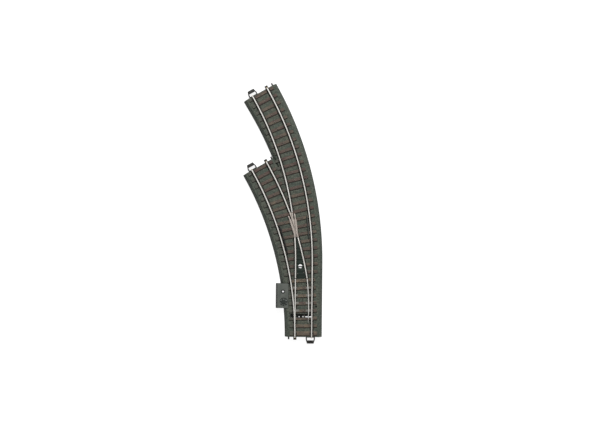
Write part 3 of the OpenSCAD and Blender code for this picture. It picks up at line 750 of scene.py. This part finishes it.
def add_block(points, faces, x, y, heading, across, along, heights, inset):
    """A box whose top is smaller by inset on every side."""
    base = len(points)
    c, s = math.cos(heading), math.sin(heading)
    for z, shrink in zip(heights, (0.0, 0.0, inset)):
        for du, dv in ((-1, -1), (1, -1), (1, 1), (-1, 1)):
            u, v = du * (across / 2 - shrink), dv * (along / 2 - shrink)
            points.append((x + u * c - v * s, y + u * s + v * c, z))
    faces.append([base + 3, base + 2, base + 1, base])
    faces.append([base + 8, base + 9, base + 10, base + 11])
    for ring in (0, 4):
        for i in range(4):
            j = (i + 1) % 4
            low, high = base + ring, base + ring + 4
            faces.append([low + i, low + j, high + j, high + i])


def rail_heading(x, y, on_inner):
    """Heading of a route's rails at a place."""
    if on_inner:
        return math.atan2(y, x + ROUTE_R)
    return 0.0 if y < LEAD else math.atan2(y - LEAD, x + ROUTE_R)


def rail_chairs(name, material):
    """Pairs of clips that hold each rail's foot on each sleeper, with two spike heads on each."""
    points, faces = [], []
    rails = ((inner_offset, -1), (inner_offset, 1), (outer_offset, -1), (outer_offset, 1))
    for k, cx, cy, heading, start, end, _, _ in BARS:
        u = np.linspace(start, end, CHAIR_SEARCH_STEPS)
        x, y = cx + u * math.cos(heading), cy + u * math.sin(heading)
        for offset_of, side in rails:
            on_inner = offset_of is inner_offset
            if on_inner and k >= INNER_COUNT:
                continue
            gap = np.abs(offset_of(x, y) - side * RAIL_OFF)
            best = int(np.argmin(gap))
            px, py = float(x[best]), float(y[best])
            stock = side == (-1 if on_inner else 1)
            chairless = not stock and (py < HEELS_Y or FROG_Y[0] < py < FROG_Y[1])
            if gap[best] > CHAIR_MISS or chairless or opened(px, py, CHAIR_CLEAR):
                continue
            check_y = INNER_CHECK_Y if on_inner else OUTER_CHECK_Y
            bare_inside = stock and any(low < py < high for low, high in (BLADES_Y, check_y))
            turn = rail_heading(px, py, on_inner)
            rc, rs = math.cos(turn), math.sin(turn)
            for jaw in (-1, 1):
                jx, jy = px + jaw * JAW_OFF * rc, py + jaw * JAW_OFF * rs
                if (jaw != side and bare_inside) or on_panel(jx, jy, 0.0):
                    continue
                add_block(points, faces, jx, jy, turn,
                          JAW_ACROSS, JAW_ALONG, JAW_HEIGHTS, JAW_TAPER)
                bx, by = px + jaw * SPIKE_OFF * rc, py + jaw * SPIKE_OFF * rs
                for along in (-SPIKE_ALONG, SPIKE_ALONG):
                    add_block(points, faces, bx - along * rs, by + along * rc, turn,
                              SPIKE_SIZE, SPIKE_SIZE, SPIKE_HEIGHTS, SPIKE_TAPER)
    mesh = bpy.data.meshes.new(name)
    mesh.from_pydata([(x * MM, y * MM, z * MM) for x, y, z in points], [], faces)
    return new_object(name, mesh, material, "track")


# ---- build --------------------------------------------------------------------------------

MATERIALS = {
    "bed": bed_side(),
    "ballast": ballast(),
    "sleeper": sleeper_wood(),
    "rail": rail_metal("rail_metal"),
    "blade": rail_metal("blade_metal", 0.78),
    "frog": cast_metal(),
    "check": plastic("check_rail_plastic", (0.01, 0.011, 0.011), 0.55),
    # The outer check rail is the same plastic as the inner one, painted lighter as painted light.
    "lit_check": plastic("lit_check_plastic", (0.034, 0.038, 0.034), 0.6),
    "panel": plastic("panel_plastic", (0.008, 0.014, 0.01), 0.65, 0.04),
    "stud": strip_metal("stud_metal", (0.1, 0.092, 0.08), 0.72, 0.3),
    "plate": strip_metal("plate_metal", (0.15, 0.143, 0.128), 0.72, 0.3),
    "bar": plastic("bar_plastic", (0.005, 0.006, 0.005), 0.55),
    "knob": knob_finish(),
    "chair": plastic("chair_plastic", (0.024, 0.021, 0.018), 0.65, 0.04),
    "housing": housing_finish(),
    "spring": strip_metal("spring_steel", (0.55, 0.55, 0.54), 0.3),
    "cover": plastic("cover_plastic", (0.025, 0.027, 0.026), 0.5, 0.04),
    "screw": strip_metal("screw_steel", (0.52, 0.52, 0.5), 0.3),
    "brass": strip_metal("contact_brass", (0.5, 0.36, 0.15), 0.35),
    "clip": plastic("clip_plastic", (0.014, 0.0135, 0.012), 0.5),
}

CAD_NODES = {
    "roadbed": "bed",
    "stud_strip_outer": "stud", "stud_strip_inner": "stud", "bond_strap": "stud",
    "slide_plates": "plate", "drive_link": "plate",
    "heel_pins": "rail", "lever_crank": "bar", "detent_spring": "spring",
    "mechanism_cover": "cover", "cover_screws": "screw",
    "feed_terminals": "brass", "contact_tongues": "brass", "locating_pins": "clip",
}

for cad_name, key in CAD_NODES.items():
    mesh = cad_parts[cad_name].data
    mesh.materials.clear()
    mesh.materials.append(MATERIALS[key])

for rail in ("stock_rail_inner", "stock_rail_outer", "closure_rail_straight", "closure_rail_curved",
             "exit_rail_inner", "exit_rail_outer"):
    softened(rail, MATERIALS["rail"], 0.1)
softened("blade_straight", MATERIALS["blade"], 0.06, "straight_blade")
softened("blade_curved", MATERIALS["blade"], 0.06, "curved_blade")
softened("frog", MATERIALS["frog"], 0.1)
softened("check_rail_inner", MATERIALS["check"], 0.12)
# Painted light: the outer check rail gets the lighter copy of the check rail plastic.
softened("check_rail_outer", MATERIALS["lit_check"], 0.12)
softened("closure_panel", MATERIALS["panel"], 0.12)
sleeper_boards("sleeper_boards", MATERIALS["sleeper"])
rail_chairs("rail_chairs", MATERIALS["chair"])
softened("throw_bar", MATERIALS["bar"], 0.1, "throw")
softened("hand_lever", MATERIALS["knob"], 0.12, "lever")
softened("lever_housing", MATERIALS["housing"], 0.25)
for end in ("toe", "inner", "outer"):
    softened("clip_" + end, MATERIALS["clip"], 0.18)
    softened("catch_" + end, MATERIALS["clip"], 0.15)

ballast_patch("ballast_inner", inner_at, INNER_LEN, "inner", MATERIALS["ballast"])
ballast_patch("ballast_outer", outer_at, OUTER_LEN, "outer", MATERIALS["ballast"])

# ---- stage --------------------------------------------------------------------------------

floor_mesh = bpy.data.meshes.new("floor")
floor_mesh.from_pydata(
    [(-FLOOR_HALF, -FLOOR_HALF, 0), (FLOOR_HALF, -FLOOR_HALF, 0),
     (FLOOR_HALF, FLOOR_HALF, 0), (-FLOOR_HALF, FLOOR_HALF, 0)], [], [(0, 1, 2, 3)])
floor = bpy.data.objects.new("floor", floor_mesh)
floor_mesh.materials.append(floor_paper())
bpy.context.scene.collection.objects.link(floor)
floor.location.z = -FLOOR_DROP

world = bpy.data.worlds.new("studio")
world.use_nodes = True
background = world.node_tree.nodes["Background"]
background.inputs["Color"].default_value = (1, 1, 1, 1)
background.inputs["Strength"].default_value = WORLD_STRENGTH
bpy.context.scene.world = world

middle = Vector(((cad_box[0][0] + cad_box[1][0]) / 2, (cad_box[0][1] + cad_box[1][1]) / 2, 0))
lamp_data = bpy.data.lights.new("key", "AREA")
lamp_data.size = LAMP_SIZE
lamp_data.energy = LAMP_POWER
lamp = bpy.data.objects.new("key", lamp_data)
bpy.context.scene.collection.objects.link(lamp)
lamp.location = middle + Vector(LAMP_OFFSET)
lamp.rotation_euler = (-Vector(LAMP_OFFSET)).to_track_quat("-Z", "Y").to_euler()

camera_data = bpy.data.cameras.new("camera")
camera_data.sensor_width = SENSOR
camera_data.lens = SENSOR * (CAMERA_HEIGHT - RAIL_TOP) / FRAME_WIDTH
camera = bpy.data.objects.new("camera", camera_data)
camera.location = (CAMERA_AT[0] * MM, CAMERA_AT[1] * MM, CAMERA_HEIGHT * MM)
camera.rotation_euler = (0, 0, CAMERA_ROLL)
bpy.context.scene.collection.objects.link(camera)
bpy.context.scene.camera = camera
bpy.context.scene.view_settings.view_transform = "Standard"
